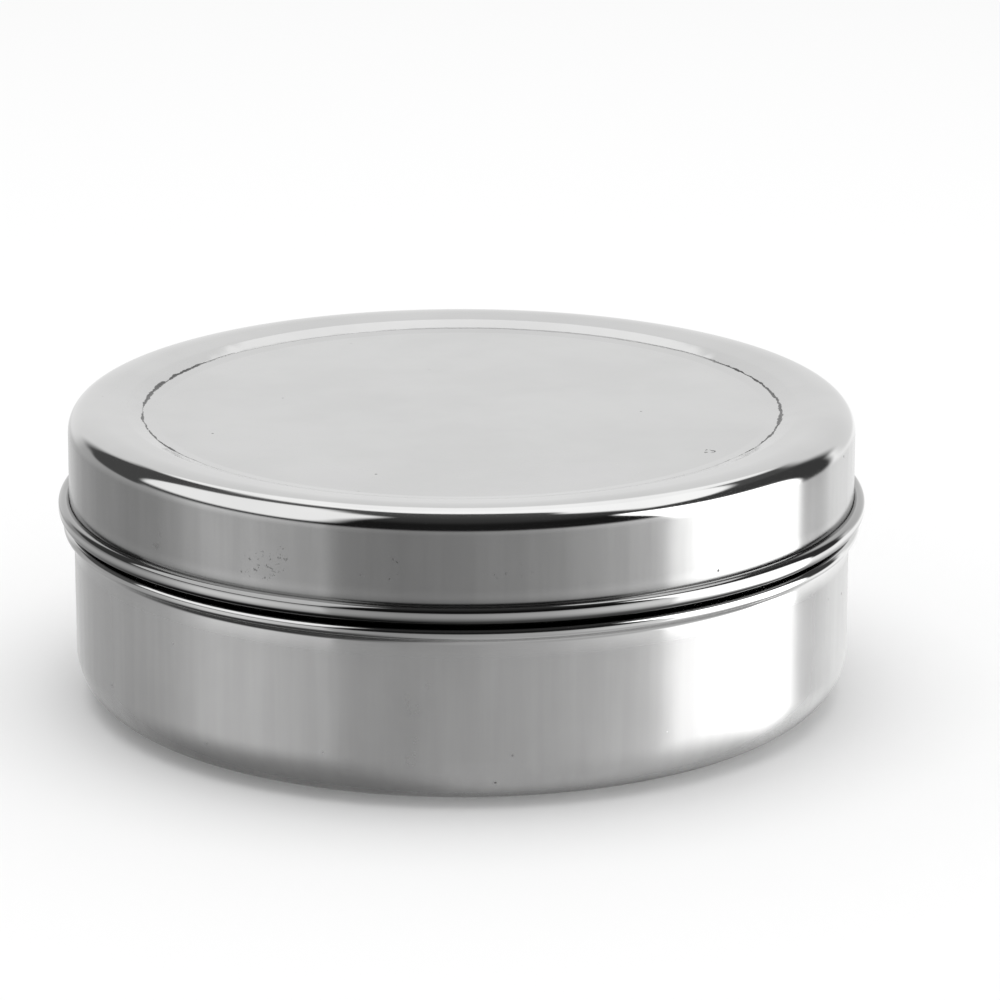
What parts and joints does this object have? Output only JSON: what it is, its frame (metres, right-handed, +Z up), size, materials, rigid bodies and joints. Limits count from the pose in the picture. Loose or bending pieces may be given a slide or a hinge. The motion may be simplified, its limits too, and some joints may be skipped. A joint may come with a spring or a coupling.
{
  "type": "masala dabba spice box",
  "caption": "Round stainless steel spice box with a slip-on lid, an inner plate with a knob, loose round cups and a small spoon.",
  "frame": {"origin": "centre of the base, on the surface that the box stands on", "axes": "+Z up, along the axis of the round box; +Y to the back; +X to the right, where the spoon's bowl is"},
  "size_m": [0.19, 0.19, 0.07],
  "materials": {
    "box_steel": "satin wall with fine upright grain, polished bead",
    "lid_steel": "satin wall, mirror-polished shoulder, bead and top",
    "plate_steel": "satin, brushed in circles",
    "cup_steel": "satin wall, polished rim",
    "knob_steel": "turned and polished",
    "screw_steel": "plain bright",
    "spoon_steel": "polished"
  },
  "bodies": {
    "box": {"box_body": "box_steel"},
    "centre_cup": {"cup_centre": "cup_steel"},
    "plate": {"inner_plate": "plate_steel", "knob": "knob_steel", "knob_washer": "screw_steel", "knob_screw": "screw_steel"},
    "spoon_body": {"spoon": "spoon_steel"},
    "lid_body": {"lid": "lid_steel"},
    "outer_cup_1": {"cup_1": "cup_steel"},
    "outer_cup_2": {"cup_2": "cup_steel"},
    "outer_cup_3": {"cup_3": "cup_steel"},
    "outer_cup_4": {"cup_4": "cup_steel"},
    "outer_cup_5": {"cup_5": "cup_steel"},
    "outer_cup_6": {"cup_6": "cup_steel"}
  },
  "joints": [
    {"name": "cups_lift", "type": "slide", "parent": "box", "child": "centre_cup", "axis": [0, 0, 1], "range_m": [0, 0.1]},
    {"name": "plate_lift", "type": "slide", "parent": "centre_cup", "child": "plate", "axis": [0, 0, 1], "range_m": [0, 0.06]},
    {"name": "spoon_lift", "type": "slide", "parent": "plate", "child": "spoon_body", "axis": [0, 0, 1], "range_m": [0, 0.04]},
    {"name": "lid_lift", "type": "slide", "parent": "spoon_body", "child": "lid_body", "axis": [0, 0, 1], "range_m": [0, 0.08]},
    {"name": "cup_1_lift", "type": "slide", "parent": "box", "child": "outer_cup_1", "axis": [0, 0, 1], "range_m": [0, 0.1]},
    {"name": "cup_2_lift", "type": "slide", "parent": "box", "child": "outer_cup_2", "axis": [0, 0, 1], "range_m": [0, 0.1]},
    {"name": "cup_3_lift", "type": "slide", "parent": "box", "child": "outer_cup_3", "axis": [0, 0, 1], "range_m": [0, 0.1]},
    {"name": "cup_4_lift", "type": "slide", "parent": "box", "child": "outer_cup_4", "axis": [0, 0, 1], "range_m": [0, 0.1]},
    {"name": "cup_5_lift", "type": "slide", "parent": "box", "child": "outer_cup_5", "axis": [0, 0, 1], "range_m": [0, 0.1]},
    {"name": "cup_6_lift", "type": "slide", "parent": "box", "child": "outer_cup_6", "axis": [0, 0, 1], "range_m": [0, 0.1]}
  ],
  "couplings": [
    {"joint": "cup_1_lift", "follows": "cups_lift", "ratio": 1},
    {"joint": "cup_2_lift", "follows": "cups_lift", "ratio": 1},
    {"joint": "cup_3_lift", "follows": "cups_lift", "ratio": 1},
    {"joint": "cup_4_lift", "follows": "cups_lift", "ratio": 1},
    {"joint": "cup_5_lift", "follows": "cups_lift", "ratio": 1},
    {"joint": "cup_6_lift", "follows": "cups_lift", "ratio": 1}
  ]
}
